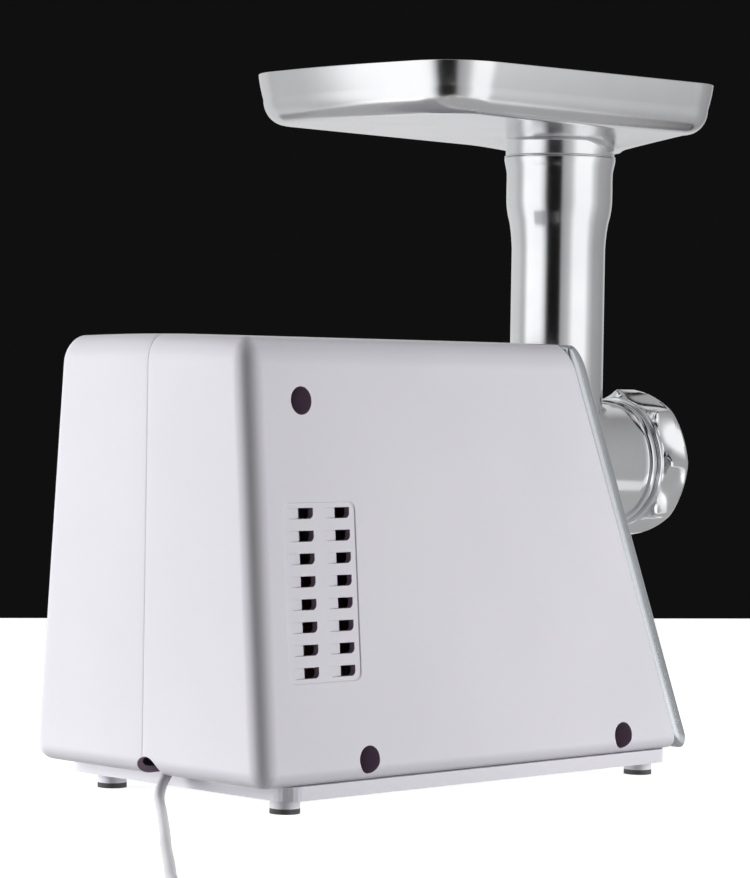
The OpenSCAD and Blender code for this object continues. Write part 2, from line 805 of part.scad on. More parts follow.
module plug_pins() {
  color(steel) for (x = [-6.35, 6.35])
    block([plug_from.x + x - 0.8, plug_from.y + 51, plug_z - 3.2], [plug_from.x + x + 0.8, plug_from.y + 67, plug_z + 3.2]);
}

housing_left();
housing_right();
front_panel();
base_plate();
rubber_feet();
housing_screws();
base_screws();
port_sleeve();
gearbox_case();
gearbox_cover();
gearbox_screws();
field_stack();
field_coils();
motor_bolts();
motor_rear_bracket();
brush_holders();
carbon_brushes();
brush_springs();
motor_bearing_front();
motor_bearing_rear();
motor_mounts();
output_bearing();
rotor_shaft();
rotor_core();
rotor_windings();
commutator();
cooling_fan();
motor_pinion();
stage1_shaft();
stage1_gear();
stage1_pinion();
stage2_shaft();
stage2_gear();
stage2_pinion();
output_shaft();
output_gear();
auger_coupling();
auger();
knife();
cutting_plate();
ring_nut();
grinder_head();
tray();
lock_button();
lock_pin();
lock_spring();
power_switch();
power_rocker();
circuit_board();
capacitor();
cord_clamp();
strain_relief();
cord();
cord_coil();
plug();
plug_pins();
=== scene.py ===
# Electric meat grinder: surfaces, finishes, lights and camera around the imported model.
import json
import math

import bmesh
import bpy
import numpy as np
from mathutils import Matrix, Vector


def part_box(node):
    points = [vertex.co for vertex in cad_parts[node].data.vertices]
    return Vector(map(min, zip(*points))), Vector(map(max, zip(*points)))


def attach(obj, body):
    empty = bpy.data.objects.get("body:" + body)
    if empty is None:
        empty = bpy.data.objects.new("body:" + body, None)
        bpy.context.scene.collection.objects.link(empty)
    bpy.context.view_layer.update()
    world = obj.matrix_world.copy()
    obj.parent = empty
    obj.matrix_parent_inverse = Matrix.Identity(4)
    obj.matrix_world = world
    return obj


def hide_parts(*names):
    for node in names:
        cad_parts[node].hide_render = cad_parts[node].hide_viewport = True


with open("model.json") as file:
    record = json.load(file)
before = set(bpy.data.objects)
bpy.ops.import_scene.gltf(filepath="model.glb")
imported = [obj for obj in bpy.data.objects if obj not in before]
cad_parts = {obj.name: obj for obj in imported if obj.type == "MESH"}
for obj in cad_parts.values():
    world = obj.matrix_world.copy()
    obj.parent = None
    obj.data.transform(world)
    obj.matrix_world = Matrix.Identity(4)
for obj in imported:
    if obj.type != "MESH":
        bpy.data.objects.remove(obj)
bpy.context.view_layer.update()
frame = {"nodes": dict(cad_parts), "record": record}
mm = 0.001


def corners(node):
    low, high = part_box(node)
    return np.array(low), np.array(high)


# places that the frame gives
shellLow, shellHigh = corners("housing_left")
nutLow, nutHigh = corners("ring_nut")
trayHigh = corners("tray")[1]
plugLow, plugHigh = corners("plug")
axisZ = (nutLow[2] + nutHigh[2]) / 2
tubeY = -104.75 * mm  # the feed tube's axis
topZ = shellHigh[2]
bottomZ = shellLow[2]
rearY = shellHigh[1]
partingX = shellHigh[0]  # the plane where the two shells meet
lean = 0.08           # how much the sides lean out for each unit down
slope = 0.3465        # how much the front moves forward for each unit down
halfTop = partingX - shellLow[0] - lean * (topZ - bottomZ)
edgeTopY = shellLow[1] + slope * (topZ - bottomZ)


print("camera")
cameraSet = {
    "place": (-1.12122, 1.14468, 0.19407),
    "azimuth": 225.04,
    "elevation": 1.04,
    "roll": 0.93,
    "lens": 134.78,
}


def makeCamera(s):
    a, e, r = (math.radians(s[k]) for k in ("azimuth", "elevation", "roll"))
    back = Vector((math.sin(a) * math.cos(e), -math.cos(a) * math.cos(e), math.sin(e)))
    right = Vector((math.cos(a), math.sin(a), 0))
    up = back.cross(right)
    x = math.cos(r) * right + math.sin(r) * up
    y = -math.sin(r) * right + math.cos(r) * up
    data = bpy.data.cameras.new("camera")
    data.sensor_width = 36
    data.sensor_fit = "AUTO"
    data.lens = s["lens"]
    data.clip_start = 0.05
    data.clip_end = 50
    o = bpy.data.objects.new("camera", data)
    o.matrix_world = Matrix.Translation(s["place"]) @ Matrix((x, y, back)).transposed().to_4x4()
    bpy.context.collection.objects.link(o)
    bpy.context.scene.camera = o


makeCamera(cameraSet)


# one value inside a material: operators on it add Math nodes
class Wire:
    def __init__(self, mat, socket):
        self.mat = mat
        self.socket = socket

    def maths(self, operation, *others, flip=False):
        values = [self, *others]
        if flip:
            values.reverse()
        return self.mat.node("ShaderNodeMath", {"operation": operation}, *values)

    def __add__(self, other):
        return self.maths("ADD", other)

    __radd__ = __add__

    def __mul__(self, other):
        return self.maths("MULTIPLY", other)

    __rmul__ = __mul__

    def __truediv__(self, other):
        return self.maths("DIVIDE", other)

    def smooth(self, low, high):
        kind = {"interpolation_type": "SMOOTHSTEP"}
        return self.mat.node("ShaderNodeMapRange", kind, self, low, high, 0.0, 1.0)


# a material being built: fixed values go straight onto the shader's sockets
class Finish:
    def __init__(self, name, **fixed):
        self.material = bpy.data.materials.new(name)
        self.material.use_nodes = True
        self.tree = self.material.node_tree
        self.shader = self.tree.nodes["Principled BSDF"]
        for key, value in fixed.items():
            self.put(key, value)

    def node(self, kind, settings, *inputs, out=0, **named):
        n = self.tree.nodes.new(kind)
        for key, value in settings.items():
            if key == "stops":
                ramp = n.color_ramp
                while len(ramp.elements) < len(value):
                    ramp.elements.new(0.5)
                for element, (at, colour) in zip(ramp.elements, value):
                    element.position = at
                    element.color = (*colour, 1)
            else:
                setattr(n, key, value)
        for i, value in list(enumerate(inputs)) + list(named.items()):
            if value is None:
                continue
            socket = n.inputs[i]
            if isinstance(value, Wire):
                self.tree.links.new(value.socket, socket)
            else:
                socket.default_value = value
        return Wire(self, n.outputs[out])

    def put(self, name, value):
        socket = self.shader.inputs[name.replace("_", " ")]
        if isinstance(value, Wire):
            self.tree.links.new(value.socket, socket)
        elif isinstance(value, tuple):
            socket.default_value = (*value, 1)
        else:
            socket.default_value = value

    def place(self, scale=(1, 1, 1), turn=(0, 0, 0)):
        coords = self.tree.nodes.new("ShaderNodeTexCoord")
        here = Wire(self, coords.outputs["Object"])
        return self.node("ShaderNodeMapping", {}, here, Scale=scale, Rotation=turn)

    def noise(self, where, scale, detail):
        return self.node("ShaderNodeTexNoise", {}, Vector=where, Scale=scale, Detail=detail, Roughness=0.55)

    def mix(self, factor, a, b):
        n = self.tree.nodes.new("ShaderNodeMix")
        n.data_type = "RGBA"
        for key, value in ((0, factor), (6, a), (7, b)):
            if isinstance(value, Wire):
                self.tree.links.new(value.socket, n.inputs[key])
            else:
                n.inputs[key].default_value = (*value, 1) if isinstance(value, tuple) else value
        return Wire(self, n.outputs[2])

    def bump(self, height, distance, strength=1.0, under=None):
        return self.node("ShaderNodeBump", {}, Strength=strength, Distance=distance, Height=height,
                         Normal=under)


print("finishes")


# moulded plastic: a soft large tint, a fine spark-eroded grain in gloss and height
def mouldedPlastic(name, colour, shade, rough, grain=2600, coat=0.0):
    f = Finish(name, Coat_Weight=coat, Coat_Roughness=0.12, IOR=1.5)
    at = f.place()
    cloud = f.noise(at, 9, 2)
    f.put("Base Color", f.mix(cloud.smooth(0.3, 0.7), colour, shade))
    fine = f.noise(at, grain, 2)
    handled = f.noise(at, 28, 4)
    f.put("Roughness", rough + 0.05 * fine + 0.06 * handled)
    f.put("Normal", f.bump(fine, 0.00002, 0.5))
    return f.material


# polished metal: near-mirror with a faint haze, fine buffing lines along one direction and soft waves
def polishedMetal(name, colour, shade, rough, stretch=(1, 1, 1)):
    f = Finish(name, Metallic=1.0)
    plain = f.place()
    buff = f.noise(f.place(stretch), 600, 4)
    cloud = f.noise(plain, 22, 3)
    f.put("Base Color", f.mix(cloud.smooth(0.3, 0.75), colour, shade))
    f.put("Roughness", rough + 0.08 * buff + 0.05 * cloud)
    waves = f.bump(f.noise(plain, 14, 2), 0.00012, 0.35)
    f.put("Normal", f.bump(buff, 0.000012, 0.35, under=waves))
    return f.material


# cast or rolled metal with a coarser grain
def plainMetal(name, colour, shade, rough, grain=900):
    f = Finish(name, Metallic=1.0)
    at = f.place()
    fine = f.noise(at, grain, 4)
    stain = f.noise(at, 40, 4)
    f.put("Base Color", f.mix(stain.smooth(0.35, 0.7), colour, shade))
    f.put("Roughness", rough + 0.15 * fine + 0.08 * stain)
    f.put("Normal", f.bump(fine, 0.00004, 0.6))
    return f.material


# silver paint over plastic: clouds in the tint, flakes in the gloss
def silverPaint(name, colour, shade):
    f = Finish(name, Metallic=0.85, Coat_Weight=0.4, Coat_Roughness=0.1)
    at = f.place()
    flake = f.node("ShaderNodeTexVoronoi", {}, Vector=at, Scale=3200.0, out=1)
    sparkle = f.node("ShaderNodeSeparateColor", {}, flake)
    cloud = f.noise(at, 12, 3)
    f.put("Base Color", f.mix(cloud.smooth(0.3, 0.7), colour, shade))
    f.put("Roughness", 0.22 + 0.05 * sparkle)
    f.put("Normal", f.bump(f.noise(at, 2200, 2), 0.00002, 0.4))
    return f.material


def rubberFinish(name, colour):
    f = Finish(name, IOR=1.45)
    at = f.place()
    dust = f.noise(at, 160, 5)
    f.put("Base Color", f.mix(dust.smooth(0.45, 0.75), colour, tuple(c + 0.05 for c in colour)))
    f.put("Roughness", 0.62 + 0.2 * dust)
    f.put("Normal", f.bump(f.noise(at, 1500, 3), 0.00005, 0.6))
    return f.material


# wound or stacked metal: thin stripes along one axis
def stripedMetal(name, colour, shade, axis, pitch):
    f = Finish(name, Metallic=1.0)
    at = f.node("ShaderNodeSeparateXYZ", {}, f.place(), out=axis)
    stripe = f.node("ShaderNodeMath", {"operation": "PINGPONG"}, at, pitch / 2) * (2 / pitch)
    f.put("Base Color", f.mix(stripe.smooth(0.1, 0.5), shade, colour))
    f.put("Roughness", 0.3 + 0.15 * f.noise(f.place(), 200, 3))
    f.put("Normal", f.bump(stripe, pitch / 4, 0.5))
    return f.material


finishes = {
    "white_plastic": mouldedPlastic("shellPlastic", (0.80, 0.785, 0.84), (0.765, 0.75, 0.81), 0.24,
                                    coat=0.25),
    "silver_plastic": silverPaint("silverPaint", (0.60, 0.63, 0.66), (0.54, 0.565, 0.59)),
    "foot_rubber": rubberFinish("footRubber", (0.085, 0.09, 0.085)),
    "zinc_steel": plainMetal("zincSteel", (0.66, 0.67, 0.70), (0.52, 0.53, 0.57), 0.25),
    "port_casting": plainMetal("portCasting", (0.55, 0.56, 0.58), (0.45, 0.46, 0.48), 0.4, grain=500),
    "lamination_steel": stripedMetal("stackSheets", (0.42, 0.43, 0.45), (0.16, 0.16, 0.18), 1, 0.8 * mm),
    "copper_wire": stripedMetal("woundCopper", (0.72, 0.33, 0.14), (0.32, 0.12, 0.05), 0, 0.9 * mm),
    "copper_bar": plainMetal("copperBar", (0.76, 0.42, 0.24), (0.5, 0.25, 0.13), 0.3),
    "brush_brass": plainMetal("brassPressing", (0.79, 0.62, 0.3), (0.62, 0.47, 0.2), 0.25),
    "carbon": rubberFinish("carbonBlock", (0.03, 0.03, 0.034)),
    "bearing_steel": plainMetal("groundSteel", (0.62, 0.63, 0.65), (0.5, 0.51, 0.54), 0.2, grain=1500),
    "black_plastic": mouldedPlastic("blackPlastic", (0.02, 0.02, 0.023), (0.03, 0.03, 0.034), 0.38),
    "board_green": mouldedPlastic("boardGreen", (0.03, 0.16, 0.07), (0.02, 0.12, 0.05), 0.3),
    "film_yellow": mouldedPlastic("filmYellow", (0.74, 0.46, 0.05), (0.65, 0.38, 0.04), 0.3),
    "cord_white": mouldedPlastic("cordSheath", (0.80, 0.80, 0.82), (0.75, 0.75, 0.77), 0.3, grain=1800),
    "plug_white": mouldedPlastic("plugPlastic", (0.81, 0.81, 0.82), (0.77, 0.77, 0.79), 0.32),
    "gear_nylon": mouldedPlastic("gearNylon", (0.80, 0.76, 0.62), (0.74, 0.69, 0.54), 0.42),
    "cast_aluminium": plainMetal("castAluminium", (0.70, 0.71, 0.72), (0.6, 0.61, 0.63), 0.32, grain=700),
    "blade_steel": polishedMetal("bladeSteel", (0.62, 0.63, 0.65), (0.52, 0.53, 0.55), 0.2, (1, 12, 1)),
    "polished_aluminium": polishedMetal("polishedAluminium", (0.86, 0.865, 0.875), (0.79, 0.795, 0.81),
                                        0.075),
    "tray_steel": polishedMetal("traySteel", (0.83, 0.835, 0.845), (0.78, 0.785, 0.80), 0.13, (1, 1, 0.08)),
    # painted shade: a dark purple put on the screw posts and on the walls of the screw holes, slots and cord
    # holes, where there is only shade
    "recess_shade": mouldedPlastic("recessPaintedShade", (0.28, 0.2, 0.28), (0.24, 0.17, 0.24), 0.6),
    "rocker_red": mouldedPlastic("rockerRed", (0.45, 0.03, 0.025), (0.38, 0.02, 0.02), 0.28),
}
slotOf = {p["node"]: p["material_slot"] for p in frame["record"]["subparts"]}
for name, o in frame["nodes"].items():
    for slot in o.material_slots:
        slot.material = finishes[slotOf[name]]


# a piece without a body is only a help in making another
def addPiece(name, points, faces, finish, body, replaced=(), sharp=35):
    mesh = bpy.data.meshes.new(name)
    mesh.from_pydata(np.asarray(points, float).reshape(-1, 3).tolist(), [],
                     [list(map(int, f)) for f in faces])
    mesh.validate()
    mesh.shade_smooth()
    mesh.set_sharp_from_angle(angle=math.radians(sharp))
    mesh.materials.append(finishes[finish])
    o = bpy.data.objects.new(name, mesh)
    bpy.context.collection.objects.link(o)
    if body:
        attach(o, body)
        finish if finish in slotOf.values() else "black_plastic"
        if replaced:
            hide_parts(*replaced)
    return o


# quads of a grid with rows x columns points, which may close on itself either way
def gridFaces(rows, columns, closeRows=False, closeColumns=True):
    i = np.arange(rows if closeRows else rows - 1)[:, None]
    j = np.arange(columns if closeColumns else columns - 1)[None, :]
    i2, j2 = (i + 1) % rows, (j + 1) % columns
    quad = np.stack([i * columns + j, i * columns + j2, i2 * columns + j2, i2 * columns + j], -1)
    return quad.reshape(-1, 4)


# six times the volume inside, which is negative when the faces point inwards
def volumeSign(points, faces):
    p = points.reshape(-1, 3)
    a, b, c, d = (p[faces[:, k]] for k in range(4))
    cross = np.cross(b - a, c - a) + np.cross(c - a, d - a)
    return float((cross * (a - p.mean(0))).sum())


# a ring of rings, closed both ways and turned to face outwards
def closedGrid(points):
    faces = gridFaces(points.shape[0], points.shape[1], closeRows=True)
    return faces[:, ::-1] if volumeSign(points, faces) < 0 else faces


# a closed tube from rows, with its two ends capped by one face each
def cappedRows(points):
    rows, columns = points.shape[:2]
    faces = [list(f) for f in gridFaces(rows, columns)]
    sign = volumeSign(points, np.array(faces))
    faces += [list(range(columns))[::-1], [(rows - 1) * columns + k for k in range(columns)]]
    return [f[::-1] for f in faces] if sign < 0 else faces


# a closed 2D outline from its corners as (x, y, radius), each one an arc between its two tangents
def roundedOutline(outline, steps):
    flat = [np.array(p[:2], float) for p in outline]
    result = []
    for i, (_, _, r) in enumerate(outline):
        b = flat[i]
        u = flat[i - 1] - b
        w = flat[(i + 1) % len(flat)] - b
        u, w = u / np.linalg.norm(u), w / np.linalg.norm(w)
        half = math.acos(np.clip(u @ w, -1, 1)) / 2
        centre = b + (u + w) / np.linalg.norm(u + w) * r / math.sin(half)
        s = b + u * r / math.tan(half) - centre
        e = b + w * r / math.tan(half) - centre
        start = math.atan2(s[1], s[0])
        sweep = (math.atan2(e[1], e[0]) - start + 3 * math.pi) % (2 * math.pi) - math.pi
        for t in np.linspace(0, 1, steps + 1):
            result.append(centre + r * np.array([math.cos(start + sweep * t), math.sin(start + sweep * t)]))
    return np.array(result)


# a profile of (radius, place) turned about a line along Y through (x, z)
def turnedAlongY(profile, x, z, segments):
    a = np.linspace(0, 2 * math.pi, segments, endpoint=False)[None, :]
    r = profile[:, :1]
    return np.stack([x + r * np.cos(a), profile[:, 1:2] + 0 * a, z + r * np.sin(a)], -1)


def evaluated(o):
    graph = bpy.context.evaluated_depsgraph_get()
    mesh = bpy.data.meshes.new_from_object(o.evaluated_get(graph), depsgraph=graph)
    o.modifiers.clear()
    o.data = mesh
    return o


# cuts a closed mesh with others, or joins them to it, and drops them
def carve(o, cutters, operation="DIFFERENCE", sharp=30):
    for cutter in cutters:
        m = o.modifiers.new("cut", "BOOLEAN")
        m.operation = operation
        m.solver = "MANIFOLD"
        m.material_mode = "TRANSFER"
        m.object = cutter
    evaluated(o)
    for cutter in cutters:
        bpy.data.objects.remove(cutter)
    o.data.shade_smooth()
    o.data.set_sharp_from_angle(angle=math.radians(sharp))
    return o


# a closed prism: an outline in two axes stood between two depths along the third
def prism(name, outline, axis, low, high, finish=None):
    order = {"x": (2, 0, 1), "y": (0, 2, 1), "z": (0, 1, 2)}[axis]
    n = len(outline)
    ends = [np.column_stack([outline, np.full(n, depth)]) for depth in (low, high)]
    points = np.vstack(ends)[:, order]
    faces = [list(range(n))[::-1], list(range(n, 2 * n))]
    faces += [[k, (k + 1) % n, (k + 1) % n + n, k + n] for k in range(n)]
    mesh = bpy.data.meshes.new(name)
    mesh.from_pydata(points.tolist(), [], faces)
    b = bmesh.new()
    b.from_mesh(mesh)
    bmesh.ops.triangulate(b, faces=b.faces)
    bmesh.ops.recalc_face_normals(b, faces=b.faces)
    b.to_mesh(mesh)
    b.free()
    if finish:
        mesh.materials.append(finishes[finish])
    o = bpy.data.objects.new(name, mesh)
    bpy.context.collection.objects.link(o)
    return o


def circleOutline(x, y, r, n=48):
    a = np.linspace(0, 2 * math.pi, n, endpoint=False)
    return np.column_stack([x + r * np.cos(a), y + r * np.sin(a)])


print("housing")
housingSet = {
    "side": 9.4 * mm,     # radius of the upright corners
    "ahead": 0.4 * mm,    # how far the shells run on past the panel's joint
    "top": 13 * mm,       # radius of the top edges
    "bottom": 8 * mm,
    "wall": 3 * mm,
    "crown": 1.2 * mm,    # how far the top falls from its middle to its edges
    "seam": 0.22 * mm,    # depth of the line where the halves meet
    "ventY": (103.6 * mm, 148.2 * mm),  # the field that the slots lie in
    "ventZ": (58.5 * mm, 138.9 * mm),
    "ventCorner": 4 * mm,
    "ventSink": 0.5 * mm,
    "posts": ((134.6 * mm, 184.1 * mm), (100.5 * mm, 22.8 * mm), (-73.9 * mm, 22.5 * mm)),
    "postHole": 6.35 * mm,
    "cordHole": 7.5 * mm,
    "cordAt": (2 * mm, 14 * mm),
    "switchLip": (1.4 * mm, 1.3 * mm),  # how far the switch's frame laps over its opening
}


def halfWidth(z):
    return halfTop + lean * (topZ - z)


# places along one axis of a rounded box: tangent steps over each rounding, even steps between, and a
# step just inside each rounding, which keeps the shading of the flats flat
def axisSteps(low, high, roundLow, roundHigh, step, extra=()):
    parts = []
    bend = np.tan(np.linspace(0, math.pi / 4, 9))
    if roundLow:
        parts.append((low + roundLow - roundLow * bend)[::-1])
    if roundHigh:
        parts.append(high - roundHigh + roundHigh * bend)
    a, b = low + roundLow, high - roundHigh
    parts.append(np.linspace(a, b, max(2, int((b - a) / step) + 1)))
    parts.append(np.array([a + 0.25 * mm] if roundLow else []))
    parts.append(np.array([b - 0.25 * mm] if roundHigh else []))
    parts.append(np.array([e for e in extra if a < e < b]))
    return np.unique(np.round(np.concatenate(parts), 7))


# carries points on a plain box onto its rounded form: each axis has its own radius at each end
def roundBox(p, low, high, roundLow, roundHigh):
    core = np.clip(p, low + roundLow, high - roundHigh)
    d = p - core
    radius = np.where(d < 0, roundLow, roundHigh)
    unit = d / np.where(radius > 0, radius, 1)
    unit /= np.maximum(np.linalg.norm(unit, axis=-1, keepdims=True), 1e-9)
    return core + unit * radius, unit


# the faces of a box as grids on shared steps, each turned to face outwards
def boxGrids(steps, sides):
    points, faces, count = [], [], 0
    for axis, end in sides:
        u, v = [k for k in range(3) if k != axis]
        grid = np.zeros((len(steps[u]), len(steps[v]), 3))
        grid[..., axis] = steps[axis][0 if end < 0 else -1]
        grid[..., u] = steps[u][:, None]
        grid[..., v] = steps[v][None, :]
        f = gridFaces(grid.shape[0], grid.shape[1], False, False)
        outwards = (end > 0) != (axis == 1)
        f = f[:, ::-1] if outwards else f
        points.append(grid.reshape(-1, 3))
        faces.append(f + count)
        count += grid.shape[0] * grid.shape[1]
    points, faces = np.vstack(points), np.vstack(faces)
    micron = np.round(points * 1e6).astype(int)
    _, first, back = np.unique(micron, axis=0, return_index=True, return_inverse=True)
    return points[first], back.reshape(-1)[faces]


def smoothStep(x, low, high):
    t = np.clip((x - low) / (high - low), 0, 1)
    return t * t * (3 - 2 * t)


# distance inside a rounded rectangle, negative outside
def insideRectangle(a, b, aRange, bRange, radius):
    ca, cb = sum(aRange) / 2, sum(bRange) / 2
    ha, hb = (aRange[1] - aRange[0]) / 2 - radius, (bRange[1] - bRange[0]) / 2 - radius
    qa, qb = np.abs(a - ca) - ha, np.abs(b - cb) - hb
    return radius - np.hypot(np.maximum(qa, 0), np.maximum(qb, 0)) - np.minimum(np.maximum(qa, qb), 0)


# moves a straight box's points to the housing's leaning sides and slanted front
def leanAndSlant(p, frontWeight):
    s = housingSet
    down = topZ - p[:, 2]
    inner = halfTop - 2 * s["side"]
    out = p.copy()
    out[:, 0] += np.sign(p[:, 0]) * lean * down * np.clip(np.abs(p[:, 0]) / inner, 0, 1)
    out[:, 1] -= slope * down * frontWeight
    return out


# close steps over the field's two edges, and wider ones over its corners
def fieldSteps(edges):
    low, high = edges
    over = [e + d * mm for e in edges for d in np.arange(-0.8, 0.9, 0.2)]
    return over + [e + way * d * mm for e, way in ((low, 1), (high, -1)) for d in np.arange(1, 5, 0.5)]


# the top falls from its middle to its edges
def crownFall(p):
    return housingSet["crown"] * (p[:, 0] / halfTop) ** 2 * smoothStep(p[:, 2], topZ - 30 * mm, topZ)


# a half shell: a rounded box's skin, open at the front and at the seam, given its wall by Solidify; the
# side is -1 for the left shell, with the slots, and 1 for the right
def makeShell(side):
    s = housingSet
    low = np.array([-halfTop, edgeTopY - s["ahead"], bottomZ])
    high = np.array([0, rearY, topZ])
    roundLow = np.array([s["side"], 0, s["bottom"]])
    roundHigh = np.array([0, s["side"], s["top"]])
    seam = high[0]
    field = [fieldSteps(s["ventY"]), fieldSteps(s["ventZ"])] if side < 0 else [[], []]
    steps = [
        axisSteps(low[0], seam, s["side"], 0, 5 * mm, [seam - 0.7 * mm, seam - 0.35 * mm, seam - 0.15 * mm]),
        axisSteps(low[1], high[1], 0, s["side"], 5 * mm, field[0]),
        axisSteps(low[2], high[2], s["bottom"], s["top"], 5 * mm, field[1]),
    ]
    points, faces = boxGrids(steps, [(0, -1), (1, 1), (2, 1), (2, -1)])
    atSeam = smoothStep(points[:, 0], seam - 0.5 * mm, seam)
    p, normal = roundBox(points, low, high, roundLow, roundHigh)
    p -= normal * (s["seam"] * atSeam)[:, None]
    p[:, 2] -= crownFall(p)
    if side < 0:
        inside = insideRectangle(p[:, 1], p[:, 2], s["ventY"], s["ventZ"], s["ventCorner"])
        onSide = points[:, 0] < low[0] + 0.1 * mm
        p[:, 0] += np.where(onSide, s["ventSink"] * smoothStep(inside, -0.1 * mm, 0.45 * mm), 0)
    # the slant is whole at the open edge and gone well ahead of the field
    still = s["ventY"][0] - 15 * mm
    weight = np.clip((still - p[:, 1]) / (still - low[1]), 0, 1)
    p = leanAndSlant(p, weight)
    if side > 0:
        p[:, 0] *= -1
        faces = faces[:, ::-1]
    p[:, 0] += partingX
    node = "housing_left" if side < 0 else "housing_right"
    o = addPiece(node + "_shell", p, faces, "white_plastic", "housing", [node])
    thick = o.modifiers.new("wall", "SOLIDIFY")
    thick.thickness = s["wall"]
    thick.offset = -1
    thick.use_even_offset = True
    evaluated(o)
    # the wall's rim stays on its own side of the seam
    at = np.zeros(3 * len(o.data.vertices), np.float32)
    o.data.vertices.foreach_get("co", at)
    at[0::3] = (np.minimum if side < 0 else np.maximum)(at[0::3], partingX)
    o.data.vertices.foreach_set("co", at)
    o.data.update()
    return o


ventSet = {
    "rows": 8,
    "pitch": 10.1 * mm,
    "long": 16.6 * mm,
    "high": 4.9 * mm,
    "corner": 2.4 * mm,
    "columns": (-2 * mm, -24.6 * mm),  # rear ends, from the field's rear edge
    "fromTop": 2.5 * mm,
    "ramp": (0.9 * mm, 2.2 * mm),      # depth of the floor at its rear end and where it falls away
    "fall": (0.5, 0.97),               # where it falls away, as parts of the length from the rear end
    "deep": 7 * mm,
}


# one slot, a row of four points (low and high, outside then inside) at each place along it: its lower
# corners are round, and its floor slopes in from its rear end until it is gone
def slotCutter(y0, y1, z0, z1):
    s = ventSet
    bend = np.linspace(0, 1, 7) ** 1.6 * s["corner"]
    d = np.concatenate([bend, np.linspace(s["corner"], (y1 - y0) / 2, 6)[1:]])
    y = np.concatenate([y0 + d, (y1 - d)[::-1][1:]])
    short = np.clip(s["corner"] - np.minimum(y - y0, y1 - y), 0, s["corner"])
    low = z0 + s["corner"] - np.sqrt(np.maximum(s["corner"] ** 2 - short ** 2, 0))
    high = np.full(len(y), z1)
    along = (y1 - y) / (y1 - y0)
    start, end = s["ramp"]
    depth = start + (end - start) * np.minimum(2 * along, 1) + smoothStep(along, *s["fall"]) * s["deep"]
    rows = []
    for z, inwards in ((low, False), (high, False), (high, True), (low, True)):
        face = partingX - halfWidth(z)
        rows.append(np.column_stack([face + depth if inwards else face - 4 * mm, y, z]))
    points = np.stack(rows, 1)
    faces = cappedRows(points)
    mesh = bpy.data.meshes.new("slot")
    mesh.from_pydata(points.reshape(-1, 3).tolist(), [], [list(map(int, f)) for f in faces])
    mesh.materials.append(finishes["white_plastic"])
    mesh.materials.append(finishes["recess_shade"])
    # the slot's walls and the deep part of its floor take the dark recess colour: painted shade, which makes
    # painted shadow lines along the shallow walls
    shaded = []
    for f in faces:  # the slot's walls and the part of its floor that falls away
        wall = {k % 4 for k in f} in ({1, 2}, {0, 3})
        shaded.append(wall or depth[[k // 4 for k in f]].min() > end + 0.05 * mm)
    mesh.polygons.foreach_set("material_index", np.array(shaded, int))
    o = bpy.data.objects.new("slot", mesh)
    bpy.context.collection.objects.link(o)
    return o


def ventCutters():
    s = ventSet
    cutters = []
    for column in s["columns"]:
        for row in range(s["rows"]):
            y1 = housingSet["ventY"][1] + column
            z1 = housingSet["ventZ"][1] - s["fromTop"] - row * s["pitch"]
            cutters.append(slotCutter(y1 - s["long"], y1, z1 - s["high"], z1))
    return cutters


# the tubes behind the screw holes, down to the shoulder that the screws pull on, in the dark recess colour
# as painted shade
def makePosts():
    s = housingSet
    r = s["postHole"] / mm
    for k, (y, z) in enumerate(s["posts"]):
        outside = (partingX - halfWidth(z)) / mm + 1.5
        profile = [(r + 0.3, outside), (r, outside), (r - 0.3, -27.4), (r - 0.7, -27), (2.2, -27),
                   (2.2, 3.6),
                   (r + 1.4, 3.6), (r + 1.6, 3.2), (r + 1.6, outside + 14), (r + 0.3, outside + 8)]
        radius, place = (np.array(profile)[:, k:k + 1] * mm for k in (0, 1))
        a = np.linspace(0, 2 * math.pi, 48, endpoint=False)[None, :]
        points = np.stack([place + 0 * a, y + radius * np.cos(a), z + radius * np.sin(a)], -1)
        addPiece(f"screw_post_{k + 1}", points, closedGrid(points), "recess_shade", "housing")


def cordCutter():
    outline = circleOutline(*housingSet["cordAt"], housingSet["cordHole"])
    # the hole's wall takes the dark recess colour from this cutter: painted shade
    return prism("cordHole", outline, "y", 0.148, 0.18, "recess_shade")


def switchCutter():
    low, high = corners("power_switch")
    lipY, lipZ = housingSet["switchLip"]
    ys, zs = (low[1] + lipY, high[1] - lipY), (low[2] + lipZ, high[2] - lipZ)
    opening = np.array([(ys[0], zs[0]), (ys[1], zs[0]), (ys[1], zs[1]), (ys[0], zs[1])])
    return prism("switchHole", opening, "x", 0.05, 0.09)


leftShell = makeShell(-1)
rightShell = makeShell(1)
# the screw holes' walls take the dark recess colour from their cutters: painted shade
holes = [prism("hole", circleOutline(y, z, housingSet["postHole"]), "x", -0.1, -0.03, "recess_shade")
         for y, z in housingSet["posts"]]
carve(leftShell, holes + [cordCutter()] + ventCutters())
makePosts()
carve(rightShell, [switchCutter(), cordCutter()])


print("front panel")
panelSet = {
    "depth": 11.8 * mm,
    "edge": 5.4 * mm,      # how far the edge's curve reaches back from the face
    "back": 4.8 * mm,      # and forwards from the joint with the shells
    "side": 3.6 * mm,
    "top": 13 * mm,
    "bottom": 8 * mm,
    "gap": (0.25 * mm, 0.05 * mm, 0.1 * mm),
    "port": 37 * mm,       # radius of the hole for the head's port
    "button": 8.4 * mm,
}


